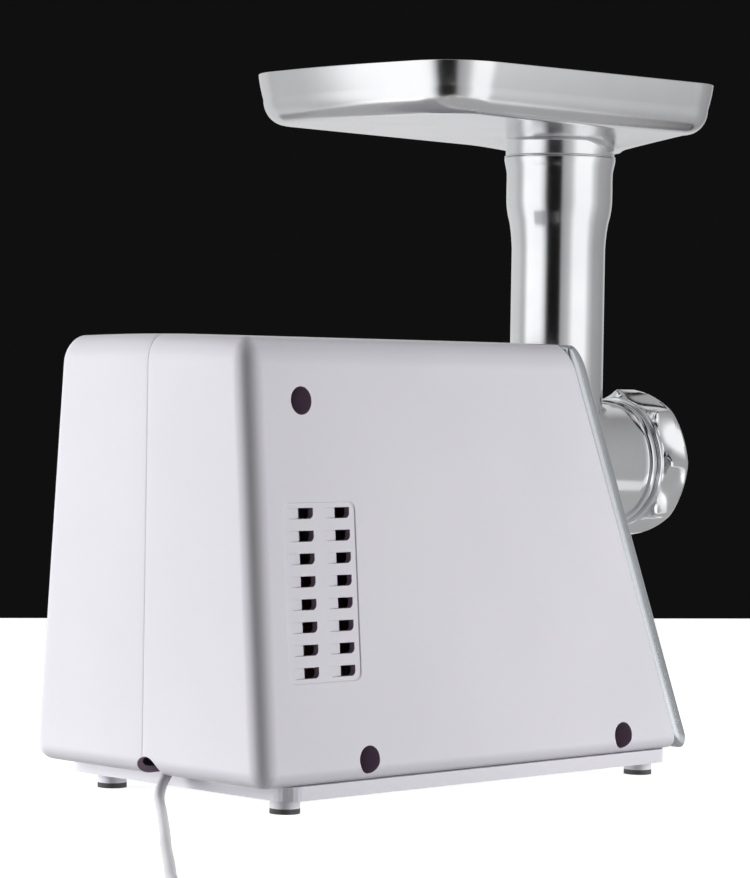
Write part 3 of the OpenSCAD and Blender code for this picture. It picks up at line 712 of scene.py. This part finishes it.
def makePanel():
    s = panelSet
    gapX, gapY, gapZ = s["gap"]
    low = np.array([-halfTop + gapX, -s["depth"], bottomZ + 2 * gapZ])
    high = np.array([halfTop - gapX, -housingSet["ahead"] - gapY, topZ - gapZ])
    roundLow = np.array([s["side"], s["edge"], s["bottom"]])
    roundHigh = np.array([s["side"], s["back"], s["top"]])
    steps = [axisSteps(low[k], high[k], roundLow[k], roundHigh[k], 4 * mm) for k in range(3)]
    points, faces = boxGrids(steps, [(k, e) for k in range(3) for e in (-1, 1)])
    p, _ = roundBox(points, low, high, roundLow, roundHigh)
    p[:, 2] -= crownFall(p)
    p = leanAndSlant(p, 1.0)
    p[:, 0] += partingX
    p[:, 1] += edgeTopY
    o = addPiece("front_panel_face", p, faces, "silver_plastic", "housing", ["front_panel"])
    lock = (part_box("lock_button")[0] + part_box("lock_button")[1]) / 2
    carve(o, [prism("port", circleOutline(0, axisZ, s["port"], 96), "y", -0.14, 0),
              prism("button", circleOutline(lock[0], lock[2], s["button"]), "y", -0.14, 0)])


makePanel()


print("grinding head")
headSet = {
    "tube": 23.7 * mm,
    "bore": 20.7 * mm,
    "barrel": 30.5 * mm,
    "barrelBore": 24 * mm,
    "fillet": 5 * mm,      # radius of the round between the tube and the barrel
    "bead": -145.75,       # places along the barrel, in mm
    "front": -161.5,
    "threads": 3,
    "threadPitch": 4,
    "lugs": (90, 210, 330),
    "lugReach": (27 * mm, 33.5 * mm),
    "lugHalf": 8 * mm,
}


# the feed tube: a profile of (radius, height) in mm, turned, whose foot flares out to meet the barrel
def feedTube():
    s = headSet
    outer = [(23.7, 262), (24.0, 266.5), (24.4, 270.6), (25.0, 274.7), (26.1, 279.2), (26.6, 282.5),
             (26.85, 285.5),
             (26.9, 292), (26.85, 297), (26.9, 300), (27.1, 301.6), (27.5, 303.4), (27.9, 305.2),
             (28.15, 306.6),
             (28.2, 307.3), (28.05, 307.8), (27.6, 308), (26.6, 308)]
    inner = [(25.4, 308), (24.8, 307.6), (24.6, 306.8), (24.6, 286), (24.2, 283), (22.4, 274), (21.2, 268.5),
             (20.7, 264)]
    n = 128
    a = np.linspace(0, 2 * math.pi, n, endpoint=False)
    barrel = s["barrel"] - 0.12 * mm

    # height where an upright ring of this radius meets a barrel of that one
    def meets(radius, around):
        return axisZ + np.sqrt(np.maximum(around ** 2 - (radius * np.cos(a)) ** 2, 0))

    def ring(radius, height):
        return np.stack([radius * np.cos(a), tubeY + radius * np.sin(a), 0 * a + height], -1)

    rows = []
    for t in np.linspace(0, 1, 9):  # flare: a quarter round between the barrel and the tube
        out = s["fillet"] * (1 - math.sin(t * math.pi / 2))
        rise = s["fillet"] * (1 - math.cos(t * math.pi / 2))
        radius = s["tube"] + out
        rows.append(ring(radius, meets(radius, barrel) + rise))
    last = rows[-1][:, 2]
    for t in np.linspace(0, 1, 12)[1:-1]:
        rows.append(ring(s["tube"], last + (outer[0][1] * mm - last) * t))
    for r, h in outer + inner:
        rows.append(ring(r * mm, h * mm))
    foot = s["tube"] + 3 * mm
    rows.append(ring(s["bore"], meets(s["bore"], s["barrelBore"] + 2 * mm)))
    rows.append(ring(foot, meets(foot, s["barrelBore"] + 3 * mm)))
    points = np.stack(rows)
    return points, closedGrid(points)


# the bayonet's lugs at the barrel's rear end
def lugPrisms():
    s = headSet
    near, far = s["lugReach"]
    half = s["lugHalf"]
    lugs = []
    for angle in s["lugs"]:
        a = math.radians(angle)
        u, v = np.array([math.cos(a), math.sin(a)]), np.array([-math.sin(a), math.cos(a)])
        ends = ((near, -half), (far, -half), (far, half), (near, half))
        outline = roundedOutline([(*(u * q + v * w + (0, axisZ)), 1.5 * mm) for q, w in ends], 4)
        lugs.append(prism("lug", outline, "y", -0.0515, -0.0468))
    return lugs


# the barrel is a profile of (radius, place) in mm, turned: its front bore, thread, bead, outside, then
# the shaft's bore and the inside
def makeHead():
    s = headSet
    f, b = s["front"], s["bead"]
    profile = [(24, f + 2.8), (27.2, f + 2.75), (27.2, f + 0.3), (27.5, f), (29.0, f), (29.5, f + 0.5)]
    for k in range(s["threads"]):  # the thread's ridges are rings
        y = f + 2.2 + k * s["threadPitch"]
        profile += [(29.5, y), (30.4, y + 0.7), (30.4, y + 1.3), (29.5, y + 2.0)]
    profile += [(29.5, b - 2.6), (31.4, b - 2.3), (32.2, b - 1.7), (32.5, b - 0.8), (32.5, b + 0.8),
                (32.2, b + 1.7), (31.4, b + 2.3), (30.7, b + 2.6), (30.5, b + 3.2)]
    profile += [(30.5, y) for y in np.linspace(b + 6, -50, 24)]
    profile += [(30.5, -47.2), (29.8, -46.5), (9.2, -46.5), (9.0, -46.8), (9.0, -61.9), (9.3, -62),
                (23.5, -62), (24, -62.5), (24, -90), (24, -130)]
    points = turnedAlongY(np.array(profile) * mm, 0, axisZ, 128)
    metal = "polished_aluminium"
    barrel = addPiece("grinder_head_casting", points, closedGrid(points), metal, "head", ["grinder_head"])
    carve(barrel, [prism("feed", circleOutline(0, tubeY, s["bore"], 64), "z", axisZ + 1 * mm,
                         axisZ + 60 * mm)])
    carve(barrel, [addPiece("feedTube", *feedTube(), metal, None)] + lugPrisms(), "UNION", sharp=32)


makeHead()


print("ring nut")
nutSet = {
    "grips": 8,
    "phase": 157.5,       # degrees of one scallop's middle
    "rearScallop": 4.9,   # depth of the scallops at the rear and at the front, in mm
    "frontScallop": 0.7,
}


# a closed profile of (radius, place, depth of scallop) in mm, turned about the grinding axis: the
# scallops pull the outside in between sharp crests and run out towards the front
def makeNut():
    s = nutSet
    y0, y1 = nutLow[1] / mm, nutHigh[1] / mm
    rear, front = s["rearScallop"], s["frontScallop"]
    profile = [(31.0, y1, 0), (32.9, y1, 0), (33.4, y1 - 0.15, 0), (33.6, y1 - 0.6, 0), (33.6, y1 - 1.7, 0),
               (33.8, y1 - 2.1, 0.2), (34.6, y1 - 2.4, 1.1), (36.4, y1 - 2.9, 2.8),
               (37.4, y1 - 3.5, rear * 0.93), (37.8, y1 - 4.3, rear)]
    for t in np.linspace(0, 1, 11)[1:]:
        profile.append((37.8, y1 - 4.3 - t * (y1 - y0 - 6.6), rear + (front - rear) * t ** 1.3))
    profile += [(37.7, y0 + 1.6, front), (37.3, y0 + 0.9, front), (36.6, y0 + 0.35, front),
                (35.6, y0 + 0.08, 0.5), (34, y0, 0.3), (31, y0, 0.1), (25, y0, 0), (23.8, y0 + 0.15, 0),
                (23.1, y0 + 0.8, 0), (23.0, y0 + 1.5, 0), (23.0, y0 + 3, 0), (26, y0 + 3, 0),
                (31.0, y0 + 3, 0),
                (31.0, y0 + 8, 0)]
    a = np.linspace(0, 2 * math.pi, 288, endpoint=False)[None, :]
    phase = (s["grips"] * (a - math.radians(s["phase"]))) % (2 * math.pi)
    near = np.abs(np.where(phase > math.pi, phase - 2 * math.pi, phase)) / math.pi  # 1 on a crest
    wave = np.maximum(1 - (near / 0.93) ** 2.1, 0)
    data = np.array(profile) * mm
    radius = data[:, :1] - data[:, 2:] * wave
    points = np.stack([radius * np.cos(a), data[:, 1:2] + 0 * a, axisZ + radius * np.sin(a)], -1)
    addPiece("ring_nut_grip", points, closedGrid(points), "polished_aluminium", "nut", ["ring_nut"],
             sharp=30)


makeNut()


print("tray")
traySet = {
    "halfFront": 85.9 * mm,
    "halfRear": 73.9 * mm,
    "front": -136.75 * mm,
    "rear": 49.45 * mm,
    "bow": 7 * mm,             # how far the rear edge curves out
    "frontCorner": 21 * mm,
    "rearCorner": 30 * mm,
    "sheet": 1.3,              # from here on in mm
    "bend": (11, 12.2),        # width and height of the round under the wall
    "wallFoot": (2.5, 330.4),  # inset and height of the wall's foot
    "fall": 1.4,               # fall of the floor from the round to the neck
    "frontFall": 5.4,          # and how much more of it there is ahead of the throat
    "neck": 30.8,              # radius where the floor turns down into the throat
    "inside": 27.6,            # the same on the inside of the sheet
}


# the rim's outline, evened out along its length
def trayRim(count):
    s = traySet
    front, rear, corner = s["front"], s["rear"], s["frontCorner"]
    outline = roundedOutline([(-s["halfFront"], front, corner), (s["halfFront"], front, corner),
                              (s["halfRear"], rear, s["rearCorner"]), (0, rear + s["bow"], 0.3),
                              (-s["halfRear"], rear, s["rearCorner"])], 24)
    closed = np.vstack([outline, outline[:1]])
    lengths = np.concatenate([[0], np.cumsum(np.linalg.norm(np.diff(closed, axis=0), axis=1))])
    t = np.linspace(0, lengths[-1], count, endpoint=False)
    return np.column_stack([np.interp(t, lengths, closed[:, k]) for k in (0, 1)])


# rows are the rim's outline moved inwards, then blended towards the throat's circle; ahead of the
# throat the floor has no room, so there the wall itself runs down into the throat
def makeTray():
    s = traySet
    rim = trayRim(360)
    ahead = np.roll(rim, -1, 0) - np.roll(rim, 1, 0)
    ahead /= np.linalg.norm(ahead, axis=1, keepdims=True)
    inward = np.column_stack([-ahead[:, 1], ahead[:, 0]])
    centre = np.array([0, tubeY])
    towards = rim - centre  # the circle's points lie in the rim's directions from the throat
    unit = towards / np.linalg.norm(towards, axis=1, keepdims=True)
    forward = smoothStep(-unit[:, 1], -0.4, 0.3)
    top, thick, neck, inside = trayHigh[2] / mm, s["sheet"], s["neck"], s["inside"]
    footIn, footZ = s["wallFoot"]
    wide, tall = s["bend"]

    # the rim moved inwards by a distance, but no nearer the throat than least
    def inset(distance, least):
        base = rim + inward * distance * mm - centre
        reach = np.linalg.norm(base, axis=1, keepdims=True)
        return base / reach * np.maximum(reach, least * mm)

    def level(flat, height):
        return np.column_stack([centre + flat, np.broadcast_to(height * mm, len(rim))])

    def ring(radius, height):
        return level(unit * radius * mm, height)

    # part t of the way down the wall
    def wallRow(t, offset, least):
        return level(inset(offset + footIn * t ** 1.4, least), top - t * (top - footZ))

    # part t of the way round the quarter under the wall, which the sheet's inside makes smaller
    def bendRow(t, offset, least):
        a = t * math.pi / 2
        out = footIn + offset + (wide - offset) * (1 - math.cos(a))
        return level(inset(out, least), footZ - (tall - offset) * math.sin(a))

    # part t of the way over the floor from the round to the neck
    def floorRow(t, lift, radius, fall):
        flat = inset(footIn + wide, radius) * (1 - t) + unit * radius * mm * t
        return level(flat, footZ - tall + lift - (fall + s["frontFall"] * forward) * t)

    out = [level(inset(0.15, 29), top), level(inset(0, 29), top - 0.3)]
    out += [wallRow(t, 0, 29) for t in (0.06, 0.2, 0.4, 0.6, 0.8, 0.93)]
    out += [bendRow(t, 0, neck) for t in np.linspace(0, 1, 13)]
    out += [floorRow(t, 0, neck, s["fall"]) for t in np.linspace(0, 1, 16)[1:]]
    last = out[-1][:, 2] / mm
    drop = np.minimum(last - 308.9, 1.2)
    for a in np.linspace(0, math.pi / 2, 6)[1:]:  # a small round turns the floor down into the neck
        out.append(ring(neck - 3.2 * math.sin(a), last - drop * (1 - math.cos(a))))
    spout = [(27.55, 309.0), (27.9, 308.8), (28.2, 308.5), (28.2, 308.25), (27.9, 308.05), (24.3, 308.05),
             (24.0, 307.6), (24.0, 291), (23.7, 290), (22.7, 290), (22.4, 290.6), (22.4, 309), (22.8, 312.0),
             (24.2, 314.2)]
    back = [ring(radius, height) for radius, height in spout]
    back += [floorRow(t, thick, inside, s["fall"] - 0.2) for t in np.linspace(1, 0, 14)]
    back += [bendRow(t, thick, inside) for t in np.linspace(1, 0, 12)[1:]]
    back += [wallRow(t, thick, inside) for t in (0.8, 0.6, 0.4, 0.2, 0.06)]
    back += [level(inset(thick - 0.1, 29), top - 0.3), level(inset(thick - 0.3, 29), top)]
    points = np.stack(out + back)
    addPiece("food_tray", points, closedGrid(points), "tray_steel", "tray", ["tray"], sharp=50)


makeTray()


print("cord")
cordSet = {"diameter": 5 * mm, "length": 1.23}
cordRoute = [  # in mm, from inside the clamp to the coil
    (2, 128, 20.5), (2, 138, 20), (2, 145, 18.8), (1.5, 151, 16), (0.5, 156, 11.5), (-2, 161, 7),
    (-7, 166, 3.9), (-13, 171, 2.6), (-24, 180, 2.5), (-35, 189, 2.5), (-47, 199, 2.5), (-60, 210, 2.5),
    (-76, 223.5, 2.5), (-92, 237, 2.5), (-107, 250, 2.5), (-121, 262, 2.5), (-136, 274.5, 2.5),
    (-150, 286, 2.5), (-168, 301, 2.5), (-185, 316, 2.5), (-204, 328.5, 2.5), (-224, 339, 2.5),
    (-245, 347, 2.5), (-265, 353, 2.5),
]
coilSet = {
    "middle": (-252 * mm, 383 * mm),
    "lanes": (32.5, 27.5, 22.5, 22.5, 27.5, 32.5),  # radius and height of each turn in mm
    "lift": (2.5, 2.5, 2.5, 7.5, 7.5, 7.5),
    "perTurn": 28,
    "turns": 5,
    "end": 180,                                     # direction in degrees where the last turn ends
}


# turns of the coil, clockwise: each turn keeps its lane, then slides to the next over its last part
def coilPath():
    s = coilSet
    x, y = s["middle"]
    first = math.degrees(math.atan2(cordRoute[-1][1] * mm - y, cordRoute[-1][0] * mm - x)) % 360
    total = 360 * s["turns"] + (first - s["end"]) % 360
    t = np.arange(1, int(total / 360 * s["perTurn"]) + 1) / s["perTurn"]
    turn = np.minimum(t.astype(int), len(s["lanes"]) - 1)
    nextTurn = np.minimum(turn + 1, len(s["lanes"]) - 1)
    share = smoothStep(t - turn, 0.72, 1.0)
    lanes, lift = np.array(s["lanes"]), np.array(s["lift"])
    r = (lanes[turn] * (1 - share) + lanes[nextTurn] * share) * mm
    z = (lift[turn] * (1 - share) + lift[nextTurn] * share) * mm
    a = np.radians(first) - t * 2 * math.pi
    return [tuple(p) for p in np.column_stack([x + r * np.cos(a), y + r * np.sin(a), z])]


def makeCord():
    path = [tuple(c * mm for c in p) for p in cordRoute] + coilPath()[:-1]
    x, z = (plugLow[0] + plugHigh[0]) / 2, (plugLow[2] + plugHigh[2]) / 2
    path += [(x, plugLow[1] + reach, z) for reach in (4 * mm, 12 * mm)]  # into the plug
    curve = bpy.data.curves.new("mains_cord", "CURVE")
    curve.dimensions = "3D"
    spline = curve.splines.new("NURBS")
    spline.points.add(len(path) - 1)
    for point, p in zip(spline.points, path):
        point.co = (*p, 1)
    spline.order_u = 4
    spline.use_endpoint_u = True
    curve.resolution_u = 4
    curve.bevel_depth = cordSet["diameter"] / 2
    curve.bevel_resolution = 4
    curve.use_fill_caps = True
    curve.materials.append(finishes["cord_white"])
    o = bpy.data.objects.new("mains_cord", curve)
    bpy.context.collection.objects.link(o)
    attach(o, "housing")
    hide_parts("cord", "cord_coil")
    return o


# a rounded bar carried along Y: each row is (place, half width, half height, corner), all but the
# place in mm
def barAlongY(rows, x, z):
    points = []
    for y, w, h, corner in rows:
        ends = ((-w, -h), (w, -h), (w, h), (-w, h))
        outline = roundedOutline([(u * mm, v * mm, corner * mm) for u, v in ends], 9)
        points.append(np.column_stack([x + outline[:, 0], np.full(len(outline), y), z + outline[:, 1]]))
    return np.stack(points)


plugSet = {
    "ribs": 5,
    "firstRib": 3 * mm,
    "ribPitch": 3.4 * mm,
    "ribHalf": 3.5,
    "ribGrows": 0.25,
    "ribDepth": 0.7,
}


# the strain relief's ribs, then the body, which swells to its grip
def makePlug():
    s = plugSet
    y0, y1 = plugLow[1], plugHigh[1]
    rows = [(y0, 2.9, 2.9, 2.85), (y0 + 1.2 * mm, 3.2, 3.2, 3.1)]
    for k in range(s["ribs"]):
        y = y0 + s["firstRib"] + k * s["ribPitch"]
        big = s["ribHalf"] + s["ribGrows"] * k
        small = big - s["ribDepth"]
        rows += [(y, big, big, big - 0.1), (y + 1.4 * mm, big, big, big - 0.1),
                 (y + 1.7 * mm, small, small, small - 0.1), (y + 2.9 * mm, small, small, small - 0.1)]
    rows += [(y0 + 21 * mm, 5.2, 4.6, 4.4), (y0 + 25 * mm, 9.5, 6.0, 4.6), (y0 + 29 * mm, 12.2, 6.3, 4.8),
             (y0 + 36 * mm, 12.6, 6.4, 4.4), (y0 + 44 * mm, 12.8, 6.4, 4.0), (y1 - 1.2 * mm, 12.8, 6.4, 3.6),
             (y1 - 0.2 * mm, 12.2, 5.9, 3.2), (y1, 11.6, 5.4, 3.0)]
    points = barAlongY(rows, (plugLow[0] + plugHigh[0]) / 2, (plugLow[2] + plugHigh[2]) / 2)
    return addPiece("mains_plug", points, cappedRows(points), "plug_white", "housing", ["plug"], sharp=40)


tieSet = {
    "lane": 27.5 * mm,           # how far the band's middle is from the coil's
    "half": (8.6 * mm, 5.2 * mm),
    "corner": 3 * mm,
    "halfBand": 4 * mm,
    "thick": 0.8 * mm,
    "height": 5.05 * mm,
}


# a band round one side of the coil: a rounded rectangle of strip carried round the bundle, flat below
def makeTie():
    s = tieSet
    x, y = coilSet["middle"]
    w, h = s["half"]
    outline = roundedOutline([(u, v, s["corner"]) for u, v in ((-w, -h), (w, -h), (w, h), (-w, h))], 8)
    outline[:, 1] = np.maximum(outline[:, 1], -4.9 * mm)
    rows = []
    for along, lift in ((-1, 0), (1, 0), (1, 1), (-1, 1)):
        grown = outline * (1 + lift * s["thick"] / np.linalg.norm(outline, axis=1, keepdims=True))
        place = np.full(len(grown), y + along * s["halfBand"])
        up = s["height"] + np.maximum(grown[:, 1], -5.0 * mm)
        rows.append(np.column_stack([x + s["lane"] + grown[:, 0], place, up]))
    points = np.stack(rows)
    return addPiece("cord_tie", points, closedGrid(points), "black_plastic", "housing", sharp=30)


cord = makeCord()
plug = makePlug()
tie = makeTie()


print("lights")
cameraSide = 134.4  # direction of the camera from the object
stageSet = {
    "floorHalf": 1.5,
    "floorFront": -2.2,
    "floorBack": 1.07,
    "floorSkew": 0.225,   # turn of the far edge that makes it look level
    "floor": (0.93, 0.93, 0.935),
    "glow": 0.75,
    "backdrop": 0.0052,
}


# an area light at an angle from the camera's side, which faces the target
def aimed(name, angle, distance, height, size, power, target=(0, 0, 0)):
    data = bpy.data.lights.new(name, "AREA")
    data.shape = "RECTANGLE"
    data.size, data.size_y = size
    data.energy = power
    o = bpy.data.objects.new(name, data)
    a = math.radians(cameraSide + angle)
    o.location = Vector((math.cos(a) * distance, math.sin(a) * distance, height))
    o.rotation_euler = (o.location - Vector(target)).to_track_quat("Z", "Y").to_euler()
    o.visible_camera = False
    bpy.context.collection.objects.link(o)
    return o


# the floor ends about a metre behind the object, and it doesn't stand in the lights' way
def makeStage(s):
    turn = math.radians(cameraSide)
    away = np.array([-math.cos(turn), -math.sin(turn)])
    aside = np.array([-away[1], away[0]])
    half, front, back = s["floorHalf"], s["floorFront"], s["floorBack"]
    skew = s["floorSkew"] * half
    ends = [(front, -half), (front, half), (back - skew, half), (back + skew, -half)]
    outline = np.array([away * u + aside * v for u, v in ends])
    mesh = bpy.data.meshes.new("floor")
    mesh.from_pydata([(x, y, 0) for x, y in outline], [], [(0, 3, 2, 1)])
    floor = bpy.data.objects.new("floor", mesh)
    f = Finish("floorPaper", Roughness=0.6, Emission_Color=(1.0, 1.0, 1.0), Emission_Strength=s["glow"])
    grain = f.noise(f.place(), 300, 3)
    f.put("Base Color", f.mix(grain, s["floor"], tuple(c * 0.985 for c in s["floor"])))
    mesh.materials.append(f.material)
    floor.visible_glossy = False
    floor.visible_diffuse = False
    floor.visible_shadow = False
    bpy.context.collection.objects.link(floor)
    world = bpy.data.worlds.new("studio")
    world.use_nodes = True
    world.node_tree.nodes["Background"].inputs[0].default_value = (1, 1, 1.02, 1)
    world.node_tree.nodes["Background"].inputs[1].default_value = s["backdrop"]
    bpy.context.scene.world = world


makeStage(stageSet)
surroundSet = {
    "radius": 1.3,
    "low": -0.6,
    "high": 1.3,
    # angle from the camera's side, brightness
    "light": ((-180, 0.7), (-120, 0.66), (-104, 0.5), (-96, 0.56), (-84, 1.2), (-46, 1.15), (-36, 0.75),
              (-27, 0.05), (-22, 0.0), (4, 0.0), (9, 0.36), (27, 0.55), (40, 1.1), (72, 1.1), (82, 0.66),
              (96, 0.4), (140, 0.3), (158, 0.62), (180, 0.7)),
}


# an upright lit wall round the object that only polish sees: a dark gap by the camera, bright cards
# beside it and dimmer ones behind
def makeSurround(s):
    n = 144
    a = np.linspace(0, 2 * math.pi, n, endpoint=False)[None, :]
    h = np.array([[s["low"]], [s["high"]]])
    points = np.stack([s["radius"] * np.cos(a) + 0 * h, s["radius"] * np.sin(a) + 0 * h, h + 0 * a], -1)
    f = Finish("surroundLight", Base_Color=(0.0, 0.0, 0.0), Roughness=1.0, Emission_Strength=1.0)
    at = f.place(turn=(0, 0, -math.radians(cameraSide)))
    x, y = (f.node("ShaderNodeSeparateXYZ", {}, at, out=k) for k in (0, 1))
    turn = f.node("ShaderNodeMath", {"operation": "ARCTAN2"}, y, x) / (2 * math.pi) + 0.5
    stops = [((angle + 180) / 360, (value, value, value * 1.01)) for angle, value in s["light"]]
    f.put("Emission Color", f.node("ShaderNodeValToRGB", {"stops": stops}, turn))
    f.material.cycles.emission_sampling = "NONE"
    mesh = bpy.data.meshes.new("surround")
    mesh.from_pydata(points.reshape(-1, 3).tolist(), [], gridFaces(2, n).tolist())
    mesh.materials.append(f.material)
    o = bpy.data.objects.new("surround", mesh)
    bpy.context.collection.objects.link(o)
    o.visible_camera = False
    o.visible_diffuse = False
    o.visible_shadow = False


makeSurround(surroundSet)
washSet = {  # angle from the camera's side, distance, height, size, power
    "washLeft": (-88, 1.5, 0.14, (0.5, 1.0), 25.5),
    "washRight": (88, 1.5, 0.14, (0.5, 1.0), 19.5),
    "fill": (2, 1.8, 0.3, (0.6, 0.6), 3.8),
    "bounce": (0, 0.02, -0.3, (1.8, 1.8), 2.2),
    "overhead": (0, 0.05, 1.6, (1.6, 1.6), 6),
}
cardSet = {  # height, side, brightness
    "cardUnder": (-0.02, 1.0, 0.4),
    "cardOver": (1.3, 1.8, 0.4),
}
for name, light in washSet.items():  # soft light for matt surfaces only
    aimed(name, *light, target=(0, 0, 0.15)).visible_glossy = False
for name, (height, side, brightness) in cardSet.items():  # for polish only, from below and above
    card = aimed(name, 0, 0.05, height, (side, side), brightness * side ** 2 * math.pi)
    card.visible_diffuse = False
    if height < 0:
        card.rotation_euler = (math.pi, 0, 0)
scene = bpy.context.scene
scene.view_settings.view_transform = "Standard"
